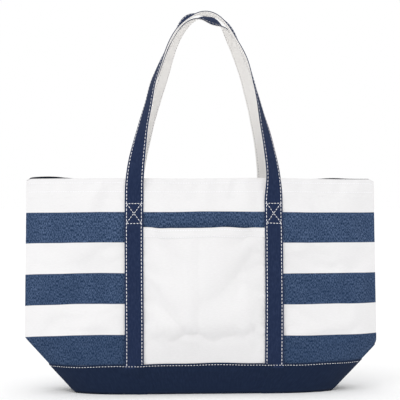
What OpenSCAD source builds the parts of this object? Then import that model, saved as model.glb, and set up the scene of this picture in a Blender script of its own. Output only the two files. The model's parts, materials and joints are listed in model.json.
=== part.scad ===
// Canvas tote bag with boxed lower corners, a front pocket and two sewn-on webbing handles.
// X runs along the width, the pocket side faces -Y, Z is up and the base stands on Z = 0.

/* [Bag] */
// Width across the side seams at the rim
rim_w = 518; // [440:2:600]
// Width across the side seams where the corner folds end
fold_w = 524; // [460:2:600]
// Height of the rim above the floor
rim_h = 313; // [280:1:360]
// Opening of the mouth at mid width
mouth_d = 108; // [80:1:130]
// Length of the base
base_l = 376; // [340:2:400]
// Depth of the base at mid length
base_d = 116; // [100:1:140]
// Depth of the base at its two ends
base_end_d = 60; // [40:1:70]
// Length of the middle of the base that lies flat on the floor
base_flat_l = 150; // [100:2:200]
// Height where the corner folds meet the side seams
fold_h = 74; // [66:1:80]
// Outward bulge of each wall at half height
belly = 9; // [4:0.5:12]
// Thickness of the body canvas
canvas_t = 2; // [1.6:0.1:2.2]

/* [Base boot] */
// Height of the boot band on the walls
boot_h = 44; // [40:0.5:48]
// Thickness of the boot band
boot_t = 1.4; // [1.2:0.1:1.8]
// Thickness of the doubled bottom
bottom_t = 3; // [2.6:0.1:3.4]

/* [Front pocket] */
// Height of the pocket's top edge above the floor
pocket_top = 241; // [200:1:244]
// Width of the pocket
pocket_w = 194; // [190:1:200]
// Thickness of the pocket canvas
pocket_t = 1.2; // [1:0.1:1.4]
// Gap held open between the pocket and the wall
pocket_gap = 10; // [7:0.5:11]

/* [Straps and handles] */
// Distance of each strap's centreline from the middle of the bag
strap_x = 101.5; // [98:0.5:108]
// Width of the straps
strap_w = 26.5; // [24:0.5:30]
// Thickness of a sewn strap
strap_t = 2; // [1.8:0.1:2.2]
// Height where the sewn straps end and the handles swing
strap_top = 278; // [270:1:282]
// Height of a handle's top above its swing axis
handle_h = 280; // [250:1:300]
// How far each handle leans in towards the other at its top
handle_lean = 40; // [36:0.5:42]
// Thickness of each of a handle's two layers
layer_t = 1.2; // [1:0.1:1.4]

/* [Stitching] */
// Width of a stitched line
thread_w = 0.9; // [0.7:0.1:1.2]
// Height of a stitched line above the cloth
thread_t = 0.5; // [0.4:0.05:0.7]
// Distance of a strap's stitching from its edge
edge_inset = 2.4; // [2:0.1:3]
// Height of the stitched box at the top of each sewn strap
box_h = 30.5; // [26:0.5:32]

/* [Hidden] */

NAVY = "#2f4374";
CANVAS = "#ecebe8";
THREAD = "#f6f5f2";

// Clear distance between two layers of cloth, and between a cloth and its stitching
layer_gap = 0.4;
thread_gap = 0.15;
// Half depth of the wall's outer face at the side seam
seam_half = 2.3;
// How full the plan curve of a wall is, at the floor and at the rim
floor_fullness = 6;
rim_fullness = 2.2;
fullness_h = 200;
// Lowest height of the body canvas, which the boot's bottom closes
panel_bottom = 12;
// Height where the pocket and the straps end under the boot band
tuck_bottom = 36;
// Distance of the sewn straps' inner face from the wall, with the pocket edge between
strap_out = 2 * layer_gap + pocket_t + 0.4;
// Distance of the swing axis from a sewn strap's outer face
axis_out = 1.2;
// Half the slit between a sewn strap and its handle
swing_slit = 0.6;
axis_y = wall_y(strap_x, strap_top) + strap_out + strap_t + axis_out;
facing_h = 28;
facing_t = 1;
binding_w = 11;
binding_t = 2.4;
// Exponent of the arch's drop from its top to its feet
arch_power = 1.4;
arch_steps = 44;
// Inward fold at a lower corner: where the seam of the boxed corner ends
fold_run = (fold_w - base_l) / 2;
fold_x = base_l / 2 - fold_run * pow(base_end_d / 2, 2) / (pow(fold_run, 2) + pow(fold_h, 2));
fold_z = 2 * fold_h * pow(fold_run, 2) / (pow(fold_run, 2) + pow(fold_h, 2));
wall_cols = 28;
band_cols = 40;
pocket_cols = 20;

function lerp(a, b, t) = a + (b - a) * t;
function smooth(t) = let(c = max(0, min(1, t))) c * c * (3 - 2 * c);

// Half width of the bag at height z
function half_width(z) =
    z < fold_h ? lerp(base_l, fold_w, z / fold_h) / 2
               : lerp(fold_w, rim_w, (z - fold_h) / (rim_h - fold_h)) / 2;

// Half depth of the bag at mid width and at the end of a wall
function mid_depth(z) = lerp(base_d, mouth_d, z / rim_h) / 2 + belly * sin(180 * z / rim_h);
function end_depth(z) = seam_half + (base_end_d / 2 - seam_half) * max(0, 1 - z / fold_h);
function fullness(z) = lerp(floor_fullness, rim_fullness, smooth(z / fullness_h));

// Distance of a wall's outer face from the middle plane
function wall_y(x, z) =
    let(share = min(1, abs(x) / half_width(z)))
    end_depth(z) + (mid_depth(z) - end_depth(z)) * (1 - pow(share, fullness(z)));

// Point on the front wall, a distance out from its outer face
function on_wall(x, z, out) = [x, -wall_y(x, z) - out, z];

// Heights of the rows of a wall, with one at the end of the corner folds
function wall_rows() = concat([for (i = [0:3]) lerp(panel_bottom, fold_h, i / 4)],
                              [for (i = [0:8]) lerp(fold_h, rim_h, i / 8)]);

function wall_grid(rows, out) =
    [for (z = rows) [for (c = [0:wall_cols]) on_wall((2 * c / wall_cols - 1) * half_width(z), z, out)]];

// Closed slab between two matching grids of points, the first on its -Y side
module slab(near, far) {
    rows = len(near);
    cols = len(near[0]);
    total = rows * cols;
    points = concat([for (row = near) each row], [for (row = far) each row]);
    faces = concat(
        [for (r = [0:rows - 2], c = [0:cols - 2]) let(i = r * cols + c) each
            [[i, i + cols + 1, i + 1], [i, i + cols, i + cols + 1]]],
        [for (r = [0:rows - 2], c = [0:cols - 2]) let(i = total + r * cols + c) each
            [[i, i + 1, i + cols + 1], [i, i + cols + 1, i + cols]]],
        [for (c = [0:cols - 2]) each
            [[c, c + 1, total + c + 1], [c, total + c + 1, total + c]]],
        [for (c = [0:cols - 2]) let(i = (rows - 1) * cols + c) each
            [[i, total + i + 1, i + 1], [i, total + i, total + i + 1]]],
        [for (r = [0:rows - 2]) let(i = r * cols) each
            [[i, total + i, total + i + cols], [i, total + i + cols, i + cols]]],
        [for (r = [0:rows - 2]) let(i = r * cols + cols - 1) each
            [[i, total + i + cols, total + i], [i, i + cols, total + i + cols]]]);
    polyhedron(points = points, faces = faces, convexity = 6);
}

// Triangular plate of canvas, centred on its plane
module plate(a, b, c, thickness) {
    normal = cross(b - a, c - a);
    half = normal / norm(normal) * thickness / 2;
    polyhedron(points = [a - half, b - half, c - half, a + half, b + half, c + half],
               faces = [[0, 1, 2], [5, 4, 3], [0, 3, 4, 1], [1, 4, 5, 2], [2, 5, 3, 0]]);
}

// Canvas tucked in behind the crease at one lower corner
module corner_flap(side) {
    foot_x = half_width(panel_bottom);
    foot = [foot_x - 1, 1 - end_depth(panel_bottom), panel_bottom + 1];
    tip = [fold_w / 2 - 1, 1 - seam_half, fold_h];
    tuck = [fold_x + 6, 1 - seam_half, fold_z];
    mirror([side < 0 ? 1 : 0, 0, 0]) plate(foot, tuck, tip, canvas_t);
}

module wall_panel() {
    slab(wall_grid(wall_rows(), 0), wall_grid(wall_rows(), -canvas_t));
    for (side = [-1, 1]) corner_flap(side);
}

module front_panel() { color(CANVAS) wall_panel(); }
module back_panel() { color(CANVAS) mirror([0, 1, 0]) wall_panel(); }

// Rise of the bottom above the floor at its middle, near the tucked ends
function bottom_rise(x) = fold_z * smooth((abs(x) - base_flat_l / 2) / (fold_x - base_flat_l / 2));

// How far the boot band stands off the wall to pass over the straps and the pocket
function strap_lift(x) = 1 - smooth((abs(abs(x) - strap_x) - strap_w / 2 - 6) / 12);
function band_lift(x, z) =
    smooth((z - 18) / 14)
    * max((strap_out + strap_t) * strap_lift(x), abs(x) < strap_x ? pocket_t + 2 * layer_gap : 0);

function band_row(z, out) =
    [for (c = [0:band_cols]) let(x = (2 * c / band_cols - 1) * half_width(z))
        on_wall(x, z, out + layer_gap + band_lift(x, z))];

function bottom_row(share, rise) =
    [for (c = [0:band_cols]) let(x = (2 * c / band_cols - 1) * base_l / 2,
                                 y = share * (wall_y(x, 0) + layer_gap))
        [x, y, bottom_rise(x) * (1 - abs(share)) + rise]];

function flipped(rows) = [for (i = [len(rows) - 1:-1:0]) [for (p = rows[i]) [p[0], -p[1], p[2]]]];

// Boot: one cloth that wraps the bottom and stands up as a band on both walls
module base_boot() {
    heights = [boot_h, 33, 18, 8, bottom_t];
    outer_band = [for (z = heights) band_row(z, boot_t)];
    inner_band = [for (z = heights) band_row(z, 0)];
    shares = [-0.96, -0.66, -0.33, 0, 0.33, 0.66, 0.96];
    outer_bottom = [for (s = shares) bottom_row(s, 0)];
    inner_bottom = [for (s = shares) bottom_row(s, bottom_t)];
    heel = [[for (p = band_row(0, boot_t)) [p[0], p[1], 0]]];
    heel_in = [[for (p = band_row(bottom_t + 1, 0)) [p[0] * 0.998, p[1] + 0.8, bottom_t]]];
    color(NAVY) slab(concat(outer_band, heel, outer_bottom, flipped(heel), flipped(outer_band)),
                     concat(inner_band, heel_in, inner_bottom, flipped(heel_in), flipped(inner_band)));
}

// Stand-off of the pocket from the wall
function pocket_out(x, z) =
    layer_gap + pocket_gap * (1 - smooth((abs(x) - 52) / 32)) * smooth((z - boot_h) / 50);

// Points across the pocket at height z, leaving out some columns at each end
function pocket_row(z, skip, out) =
    [for (c = [skip:pocket_cols - skip]) let(x = (c / pocket_cols - 0.5) * pocket_w)
        on_wall(x, z, pocket_out(x, z) + out)];

module front_pocket() {
    rows = 12;
    grid = function (out) [for (r = [0:rows]) pocket_row(lerp(tuck_bottom, pocket_top, r / rows), 0, out)];
    color(CANVAS) slab(grid(pocket_t), grid(0));
}

// Strap sewn flat to the front wall, from under the boot up to the stitched box
module strap_leg(side) {
    rows = 12;
    grid = function (out) [for (r = [0:rows]) let(z = lerp(tuck_bottom, strap_top - swing_slit, r / rows))
        [for (across = [-0.5, 0, 0.5]) on_wall(side * strap_x + across * strap_w, z, out)]];
    slab(grid(strap_out + strap_t), grid(strap_out));
}

module front_left_strap_leg() { color(NAVY) strap_leg(-1); }
module front_right_strap_leg() { color(NAVY) strap_leg(1); }
module back_left_strap_leg() { color(NAVY) mirror([0, 1, 0]) strap_leg(-1); }
module back_right_strap_leg() { color(NAVY) mirror([0, 1, 0]) strap_leg(1); }

// Navy facing inside the rim
module rim_facing() {
    rows = [for (i = [0:2]) rim_h - 0.5 - facing_h * (1 - i / 2)];
    reach = 0.93;
    grid = function (out) [for (z = rows) [for (c = [0:wall_cols])
        on_wall(reach * (2 * c / wall_cols - 1) * half_width(z), z, out)]];
    out = -canvas_t - layer_gap;
    slab(grid(out), grid(out - facing_t));
}

module front_rim_facing() { color(NAVY) rim_facing(); }
module back_rim_facing() { color(NAVY) mirror([0, 1, 0]) rim_facing(); }

// Tape over the raw edges inside a side seam
module side_seam_binding(side) {
    low = fold_h + 5;
    high = rim_h - facing_h - 3;
    inset = 5;
    outline = [[half_width(low) - inset - binding_w, low], [half_width(low) - inset, low],
               [half_width(high) - inset, high], [half_width(high) - inset - binding_w, high]];
    mirror([side < 0 ? 1 : 0, 0, 0]) rotate([90, 0, 0])
        linear_extrude(height = binding_t, center = true) polygon(outline);
}

module left_side_seam_binding() { color(CANVAS) side_seam_binding(-1); }
module right_side_seam_binding() { color(CANVAS) side_seam_binding(1); }

// Tape over the raw edges inside a boxed corner, a pair of bars that meet over the tuck
module corner_seam_binding(side) {
    bar_r = 1.5;
    bar_x = fold_x - 4;
    low_y = 23;
    lift = bottom_t + 6;
    tuck_h = function (y) bottom_rise(bar_x) * (1 - y / (wall_y(bar_x, 0) + layer_gap));
    for (face = [-1, 1]) hull() {
        translate([side * bar_x, face * low_y, tuck_h(low_y) + lift]) sphere(r = bar_r, $fn = 8);
        translate([side * bar_x, 0, tuck_h(0) + lift]) sphere(r = bar_r, $fn = 8);
    }
}

module left_corner_seam_binding() { color(CANVAS) corner_seam_binding(-1); }
module right_corner_seam_binding() { color(CANVAS) corner_seam_binding(1); }

// Stitched line on the front wall from one [x, z] point to another, on a layer whose face stands out
module stitched_line(from, to, steps, out) {
    along = (to - from) / norm(to - from);
    side = [along[1], -along[0]] * thread_w / 2;
    grid = function (lift) [for (i = [0:steps]) let(p = lerp(from, to, i / steps))
        [for (q = [p - side, p + side]) on_wall(q[0], q[1], out(q[0], q[1]) + lift)]];
    slab(grid(thread_gap + thread_t), grid(thread_gap));
}

strap_face = function (x, z) strap_out + strap_t;

module strap_stitching() {
    low = boot_h + 2;
    high = strap_top - box_h - 1;
    for (side = [-1, 1], edge = [-1, 1]) {
        x = side * strap_x + edge * (strap_w / 2 - edge_inset);
        stitched_line([x, high], [x, low], 10, strap_face);
    }
}

module front_strap_stitching() { color(THREAD) strap_stitching(); }
module back_strap_stitching() { color(THREAD) mirror([0, 1, 0]) strap_stitching(); }

// Square with a cross through it, at the top of each sewn strap
module box_stitching() {
    half = strap_w / 2 - edge_inset;
    high = strap_top - 1.6;
    low = strap_top - box_h;
    for (side = [-1, 1]) {
        x = side * strap_x;
        for (line = [[[-half, low], [half, low]], [[-half, high], [half, high]],
                     [[-half, low], [half, high]], [[-half, high], [half, low]],
                     [[-half, high], [-half, low]], [[half, high], [half, low]]])
            stitched_line([x, 0] + line[0], [x, 0] + line[1], 3, strap_face);
    }
}

module front_box_stitching() { color(THREAD) box_stitching(); }
module back_box_stitching() { color(THREAD) mirror([0, 1, 0]) box_stitching(); }

// Topstitching just under the boot's upper edge
module boot_topstitch() {
    middle = boot_h - 2.5;
    heights = [middle - thread_w / 2, middle + thread_w / 2];
    grid = function (out) [for (z = heights) [for (c = [1:band_cols - 1])
        let(x = (2 * c / band_cols - 1) * half_width(z)) on_wall(x, z, layer_gap + band_lift(x, z) + out)]];
    slab(grid(boot_t + 3 * thread_gap + thread_t), grid(boot_t + 3 * thread_gap));
}

module front_boot_topstitch() { color(THREAD) boot_topstitch(); }
module back_boot_topstitch() { color(THREAD) mirror([0, 1, 0]) boot_topstitch(); }

// Two hem lines below the rim, broken where the handles pass
module rim_stitching() {
    bare = function (x, z) 0;
    for (drop = [7, 19]) {
        z = rim_h - drop;
        inner = strap_x - strap_w / 2 - 5;
        outer = strap_x + strap_w / 2 + 5;
        stitched_line([-inner, z], [inner, z], 18, bare);
        for (side = [-1, 1]) stitched_line([side * outer, z], [side * (half_width(z) - 6), z], 14, bare);
    }
}

module front_rim_stitching() { color(THREAD) rim_stitching(); }
module back_rim_stitching() { color(THREAD) mirror([0, 1, 0]) rim_stitching(); }

module pocket_hem_stitching() {
    color(THREAD) for (drop = [4, 14]) {
        heights = [for (half = [-0.5, 0.5]) pocket_top - drop + half * thread_w];
        grid = function (out) [for (z = heights) pocket_row(z, 1, out)];
        slab(grid(pocket_t + thread_gap + thread_t), grid(pocket_t + thread_gap));
    }
}

// Centreline of a handle, measured from the swing axis; angle runs from -90 at the left foot to 90
function arch(angle) =
    let(rise = pow(max(0, cos(angle)), arch_power))
    [strap_x * sin(angle), handle_lean * pow(rise, 1.5), handle_h * rise + swing_slit];

// Twist of the strap, from flat on the wall at its feet to flat across the top
function twist(angle) = 70 * smooth((80 - abs(angle)) / 32) + 20 * (1 - abs(angle) / 90);

// Point of a handle's cross-section: across its width, and out from its middle layer
function arch_point(angle, across, out) =
    let(a = arch(max(-90, angle - 0.5)), b = arch(min(90, angle + 0.5)),
        run = [b[0] - a[0], b[2] - a[2]] / norm([b[0] - a[0], b[2] - a[2]]),
        inward = [run[1], 0, -run[0]],
        forward = [0, -1, 0],
        width_dir = cos(twist(angle)) * inward + sin(twist(angle)) * forward,
        face_dir = cos(twist(angle)) * forward - sin(twist(angle)) * inward)
    arch(angle) + across * width_dir + out * face_dir;

function arch_grid(shares, skip, out) =
    [for (i = [skip:arch_steps - skip]) let(angle = 180 * i / arch_steps - 90)
        [for (share = shares) arch_point(angle, share * strap_w / 2, out)]];

// One layer of a handle, standing at rest above the front wall, less some steps at each foot
module handle_layer(shares, low, high, skip = 0) {
    middle = strap_t / 2 + axis_out;
    translate([0, middle - axis_y, strap_top])
        slab(arch_grid(shares, skip, low), arch_grid(shares, skip, high));
}

// Edges of a handle's two stitched lines, as shares of its half width
function line_edges(side) =
    [for (half = [-0.5, 0.5]) side * (1 - 2 * edge_inset / strap_w) + half * thread_w * 2 / strap_w];

// Both layers have the same columns, so that their faces lie evenly on each other
layer_shares = concat([-1], line_edges(-1), line_edges(1), [1]);

module handle_outer() { handle_layer(layer_shares, 0, layer_t); }
module handle_lining() { handle_layer(layer_shares, -0.1 - layer_t, -0.1); }
module handle_stitching() {
    low = layer_t + thread_gap;
    for (side = [-1, 1]) handle_layer(line_edges(side), low, low + thread_t, skip = 1);
}

module front_handle_outer() { color(NAVY) handle_outer(); }
module front_handle_lining() { color(CANVAS) handle_lining(); }
module front_handle_stitching() { color(THREAD) handle_stitching(); }
module back_handle_outer() { color(NAVY) mirror([0, 1, 0]) handle_outer(); }
module back_handle_lining() { color(CANVAS) mirror([0, 1, 0]) handle_lining(); }
module back_handle_stitching() { color(THREAD) mirror([0, 1, 0]) handle_stitching(); }

front_panel();
back_panel();
base_boot();
front_pocket();
front_left_strap_leg();
front_right_strap_leg();
back_left_strap_leg();
back_right_strap_leg();
front_rim_facing();
back_rim_facing();
left_side_seam_binding();
right_side_seam_binding();
left_corner_seam_binding();
right_corner_seam_binding();
front_strap_stitching();
back_strap_stitching();
front_box_stitching();
back_box_stitching();
front_boot_topstitch();
back_boot_topstitch();
front_rim_stitching();
back_rim_stitching();
pocket_hem_stitching();
front_handle_outer();
front_handle_lining();
front_handle_stitching();
back_handle_outer();
back_handle_lining();
back_handle_stitching();
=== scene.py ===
"""Looks of the striped canvas tote: sewn sheets, straps, stitches and cloth materials round the CAD frame.

Everything is in metres in the frame's axes: X along the width, the pocket side towards -Y, Z up.
The walls follow one plan-curve formula, wrinkled by a cloth simulation, and every layer lies on them.
"""

import json
import math

import bpy
import numpy as np
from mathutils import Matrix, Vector


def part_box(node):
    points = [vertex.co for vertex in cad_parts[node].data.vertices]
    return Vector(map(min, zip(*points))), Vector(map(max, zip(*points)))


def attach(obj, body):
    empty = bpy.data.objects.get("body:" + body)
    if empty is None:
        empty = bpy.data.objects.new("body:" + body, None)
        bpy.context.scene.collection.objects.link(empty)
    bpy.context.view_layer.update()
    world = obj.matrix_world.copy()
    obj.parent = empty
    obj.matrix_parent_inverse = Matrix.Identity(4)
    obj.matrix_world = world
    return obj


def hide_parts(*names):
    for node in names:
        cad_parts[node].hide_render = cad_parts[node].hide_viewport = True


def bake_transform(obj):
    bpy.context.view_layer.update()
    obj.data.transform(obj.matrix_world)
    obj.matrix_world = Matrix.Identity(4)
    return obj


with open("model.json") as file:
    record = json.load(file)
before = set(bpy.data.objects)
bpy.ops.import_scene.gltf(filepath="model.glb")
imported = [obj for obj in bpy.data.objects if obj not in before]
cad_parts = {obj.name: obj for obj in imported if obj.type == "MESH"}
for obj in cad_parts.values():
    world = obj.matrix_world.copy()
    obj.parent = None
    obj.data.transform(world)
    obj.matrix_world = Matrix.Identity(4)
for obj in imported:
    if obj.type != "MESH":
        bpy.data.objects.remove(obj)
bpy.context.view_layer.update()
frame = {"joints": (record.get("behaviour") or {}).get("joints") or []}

# ---------------- sizes

MM = 0.001
FRONT, BACK = -1, 1

PANEL_LOW, PANEL_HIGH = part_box("front_panel")
POCKET_LOW, POCKET_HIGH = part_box("front_pocket")
LEG_LOW, LEG_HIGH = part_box("front_right_strap_leg")
SWING = {j["name"]: j["pos_m"] for j in frame["joints"]}["front_handle_swing"]

RIM_H = PANEL_HIGH.z
RIM_W = PANEL_HIGH.x - PANEL_LOW.x - 6 * MM
BASE_D = 116 * MM
BASE_END_D = 60 * MM
BASE_FLAT_L = 150 * MM
MOUTH_D = 108 * MM
BELLY = 9 * MM
SEAM_HALF = 1.3 * MM
FLOOR_FULLNESS, RIM_FULLNESS, FULLNESS_H = 6.0, 2.2, 200 * MM
# Left and right: half length of the base, then the corner fold's distance along X and height where it
# meets the side seam, and how softly the outline turns there
BASE_HALF = {-1: 185.8 * MM, 1: 190.2 * MM}
FOLD_HALF = {-1: 261.8 * MM, 1: 263.4 * MM}
FOLD_H = {-1: 79 * MM, 1: 67 * MM}
FOLD_TURN = {-1: 3 * MM, 1: 8 * MM}

CANVAS_T = 1.2 * MM
BOOT_H = 44 * MM
BOOT_T = 1.2 * MM
LAYER_GAP = 0.25 * MM
POCKET_TOP = POCKET_HIGH.z
POCKET_W = POCKET_HIGH.x - POCKET_LOW.x
POCKET_T = 1.0 * MM
POCKET_GAP = 8 * MM
TUCK_Z = 36 * MM
STRAP_X = (LEG_LOW.x + LEG_HIGH.x) / 2
STRAP_W = LEG_HIGH.x - LEG_LOW.x
PLY_T = 1.1 * MM
AXIS_Y, AXIS_Z = abs(SWING[1]), SWING[2]
HANDLE_H = 280 * MM
HANDLE_LEAN = 40 * MM
EDGE_INSET = 2.4 * MM
BOX_H = 30.5 * MM
FACING_H = 28 * MM
FACING_T = 0.8 * MM

STRIPE_TOP = 263.6 * MM
STRIPE_PITCH = 45.15 * MM

rng = np.random.default_rng(7)


# ---------------- small maths


def lerp(a, b, t):
    return a + (b - a) * t


def smooth(t):
    t = np.clip(t, 0, 1)
    return t * t * (3 - 2 * t)


def bump(x, centre, width):
    return np.exp(-(((x - centre) / width) ** 2))


def unit(v):
    return v / np.maximum(np.linalg.norm(v, axis=-1, keepdims=True), 1e-12)


def distances(points):
    """How far along a line each of its points lies."""
    return np.concatenate([[0], np.cumsum(np.linalg.norm(np.diff(points, axis=0), axis=1))])


def along_line(at, run, values):
    """Values of a line at distances along it."""
    return np.stack([np.interp(at, run, values[:, k]) for k in range(values.shape[1])], -1)


def cubic_weights(t):
    """Weights of the four neighbours, for a cubic B-spline."""
    return (
        (1 - t) ** 3 / 6,
        (3 * t**3 - 6 * t**2 + 4) / 6,
        (-3 * t**3 + 3 * t**2 + 3 * t + 1) / 6,
        t**3 / 6,
    )


def sample_grid(grid, row, col):
    """Smooth value of a grid at fractional rows and columns."""
    row = np.clip(row, 0, grid.shape[0] - 1.001)
    col = np.clip(col, 0, grid.shape[1] - 1.001)
    r0, c0 = np.floor(row).astype(int), np.floor(col).astype(int)
    wr, wc = cubic_weights(row - r0), cubic_weights(col - c0)
    out = 0.0
    for i in range(4):
        ri = np.clip(r0 + i - 1, 0, grid.shape[0] - 1)
        for j in range(4):
            cj = np.clip(c0 + j - 1, 0, grid.shape[1] - 1)
            out = out + wr[i] * wc[j] * grid[ri, cj]
    return out


# ---------------- the wall's shape


def pick(side, table):
    """Value of a left and right table for an array of sides."""
    return np.where(np.asarray(side) < 0, table[-1], table[1])


def half_width(z, side):
    """Distance from the middle plane to the outline, with the corner fold's turn rounded."""
    fold_h, turn = pick(side, FOLD_H), pick(side, FOLD_TURN)
    low = lerp(pick(side, BASE_HALF), pick(side, FOLD_HALF), z / fold_h)
    high = lerp(pick(side, FOLD_HALF), RIM_W / 2, (z - fold_h) / (RIM_H - fold_h))
    near = np.maximum(turn - np.abs(low - high), 0) / turn
    return np.minimum(low, high) - near**2 * turn / 4


def mid_depth(z):
    return lerp(BASE_D, MOUTH_D, z / RIM_H) / 2 + BELLY * np.sin(np.pi * np.clip(z / RIM_H, 0, 1))


def end_depth(z, side):
    return SEAM_HALF + (BASE_END_D / 2 - SEAM_HALF) * np.clip(1 - z / pick(side, FOLD_H), 0, 1)


def fullness(z):
    return lerp(FLOOR_FULLNESS, RIM_FULLNESS, smooth(z / FULLNESS_H))


def wall_depth(x, z):
    share = np.clip(np.abs(x) / half_width(z, x), 0, 1)
    end = end_depth(z, x)
    return end + (mid_depth(z) - end) * (1 - share ** fullness(z))


# Rows run up the wall and columns from its left seam to its right one
SIM_ROWS, SIM_COLS = 49, 81
SIM_LOW = 10 * MM
ripples = {FRONT: np.zeros((SIM_ROWS, SIM_COLS)), BACK: np.zeros((SIM_ROWS, SIM_COLS))}


def ripple(face, x, z):
    """How far the simulated cloth stands out from the formula's wall."""
    share = x / half_width(z, x)
    row = (z - SIM_LOW) / (RIM_H - SIM_LOW) * (SIM_ROWS - 1)
    col = (share + 1) / 2 * (SIM_COLS - 1)
    return sample_grid(ripples[face], row, col)


def pucker(x, z):
    """Fine gathers along the seams and hems, where the thread pulls the cloth in."""
    hw = half_width(z, x)
    seam = bump(hw - np.abs(x), 5 * MM, 9 * MM) * np.sin(z / (5.3 * MM) + np.sin(z / (17 * MM)) * 2)
    hem = bump(z, RIM_H - 14 * MM, 12 * MM) * np.sin(x / (6.1 * MM) + np.sin(x / (23 * MM)) * 2)
    return 0.22 * MM * seam * (hw - np.abs(x) > 1 * MM) + 0.15 * MM * hem


def settle(face, x, z):
    """How far the cloth sinks or stands up along Z, most of it at the rim."""
    top = smooth((z - 0.16) / (RIM_H - 0.16)) ** 2
    corner = -3.5 * MM * smooth((np.abs(x) / half_width(z, x) - 0.965) / 0.035) ** 2
    corner = corner * smooth((z - RIM_H + 30 * MM) / (30 * MM))
    if face == FRONT:
        sag = -1.0 * MM * (1 - bump(np.abs(x), STRAP_X, 60 * MM)) + 0.4 * MM * np.sin(x / 0.043)
    else:
        sag = (
            3.4 * MM * bump(x, -0.228, 0.030)
            + 1.5 * MM * bump(x, 0.2, 0.022)
            - 1.8 * MM * bump(x, 0.02, 0.1)
        )
    return sag * top + corner


def wall(face, x, z):
    """Point on a wall's outer face."""
    x, z = np.broadcast_arrays(np.asarray(x, float), np.asarray(z, float))
    depth = wall_depth(x, z) + ripple(face, x, z) + pucker(x, z)
    return np.stack([x, face * depth, z + settle(face, x, z)], -1)


def wall_frame(face, x, z):
    """Point on the wall, and its outward normal."""
    step = 1.5 * MM
    p = wall(face, x, z)
    hw = half_width(z, x)
    xa, xb = np.clip(x - step, -hw, hw), np.clip(x + step, -hw, hw)
    along = wall(face, xb, z) - wall(face, xa, z)
    up = wall(face, x, np.asarray(z) + step) - wall(face, x, np.asarray(z) - step)
    n = unit(np.cross(along, up)) * (1 if face == FRONT else -1)
    return p, n


def on_wall(face, x, z, out):
    p, n = wall_frame(face, x, z)
    return p + n * np.asarray(out)[..., None]


# ---------------- mesh making


def new_object(name, verts, faces, material, cloth=None, wear=None):
    mesh = bpy.data.meshes.new(name)
    mesh.from_pydata([tuple(v) for v in np.asarray(verts, float)], [], faces)
    mesh.update()
    if cloth is not None:
        flat = np.zeros((len(verts), 3), np.float32)
        flat[:, :2] = np.asarray(cloth, float)[:, :2]
        mesh.attributes.new("cloth", "FLOAT_VECTOR", "POINT").data.foreach_set("vector", flat.ravel())
    if wear is not None:
        mesh.attributes.new("wear", "FLOAT", "POINT").data.foreach_set(
            "value", np.asarray(wear, np.float32).ravel()
        )
    mesh.polygons.foreach_set("use_smooth", [True] * len(mesh.polygons))
    mesh.materials.append(material)
    obj = bpy.data.objects.new(name, mesh)
    bpy.context.scene.collection.objects.link(obj)
    return obj


def shell(name, outer, inner, material, cloth, wear=None):
    """Closed sheet between two grids of points, with rounded edges."""
    rows, cols = outer.shape[:2]
    total = rows * cols
    index = np.arange(total).reshape(rows, cols)
    a, b, c, d = index[:-1, :-1], index[:-1, 1:], index[1:, 1:], index[1:, :-1]
    quads = np.stack([a, b, c, d], -1).reshape(-1, 4)
    r, q = rows // 2, cols // 2
    across = np.cross(outer[r, q] - outer[r - 1, q - 1], outer[r, q - 1] - outer[r - 1, q])
    flip = np.dot(across, outer[r, q] - inner[r, q]) < 0
    if flip:
        quads = quads[:, ::-1]
    ring = np.concatenate([index[0, :], index[1:, -1], index[-1, -2::-1], index[-2:0:-1, 0]])
    inside = np.concatenate([
        index[1, :], index[1:, -2], index[-2, -2::-1], index[-2:0:-1, 1],
    ])
    flat_outer, flat_inner = outer.reshape(-1, 3), inner.reshape(-1, 3)
    thick = np.linalg.norm(flat_outer[ring] - flat_inner[ring], axis=1, keepdims=True)
    away = unit(flat_outer[ring] - flat_outer[inside])
    middle = (flat_outer[ring] + flat_inner[ring]) / 2 + away * thick * 0.42
    n = len(ring)
    k = np.arange(n)
    k1 = (k + 1) % n
    strip_a = np.stack([ring[k1], ring[k], 2 * total + k, 2 * total + k1], -1)
    strip_b = np.stack([2 * total + k1, 2 * total + k, total + ring[k], total + ring[k1]], -1)
    if flip:
        strip_a, strip_b = strip_a[:, ::-1], strip_b[:, ::-1]
    faces = np.concatenate([quads, quads[:, ::-1] + total, strip_a, strip_b]).tolist()
    verts = np.concatenate([flat_outer, flat_inner, middle])
    flat = cloth.reshape(-1, 2)
    coords = np.concatenate([flat, flat, flat[ring]])
    worn = np.zeros(total) if wear is None else wear.reshape(-1)
    worn = np.concatenate([worn, worn, np.minimum(1, worn[ring] + 0.5)])
    return new_object(name, verts, faces, material, coords, worn)


def grid_normals(points, like):
    """Unit normals of a grid of points, on the side of a guide direction."""
    du = np.gradient(points, axis=1)
    dv = np.gradient(points, axis=0)
    n = unit(np.cross(du, dv))
    sign = np.sign((n * like).sum(-1, keepdims=True))
    sign[sign == 0] = 1
    return n * sign


STITCH = 2.7 * MM
STITCH_GAP = 1.0 * MM


def stitch_faces(total, sides, rings):
    """Faces of many stitches, each a tube of rings that is closed at both ends."""
    per = rings * sides
    k = np.arange(sides)
    k1 = (k + 1) % sides
    one = np.concatenate([
        np.stack([j * sides + k, j * sides + k1, (j + 1) * sides + k1, (j + 1) * sides + k], -1)
        for j in range(rings - 1)
    ])
    quads = (one[None] + (np.arange(total) * per)[:, None, None]).reshape(-1, 4)
    caps = []
    for t in range(total):
        caps.append((t * per + k).tolist())
        caps.append((t * per + (rings - 1) * sides + k[::-1]).tolist())
    return quads[:, ::-1].tolist() + caps


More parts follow.
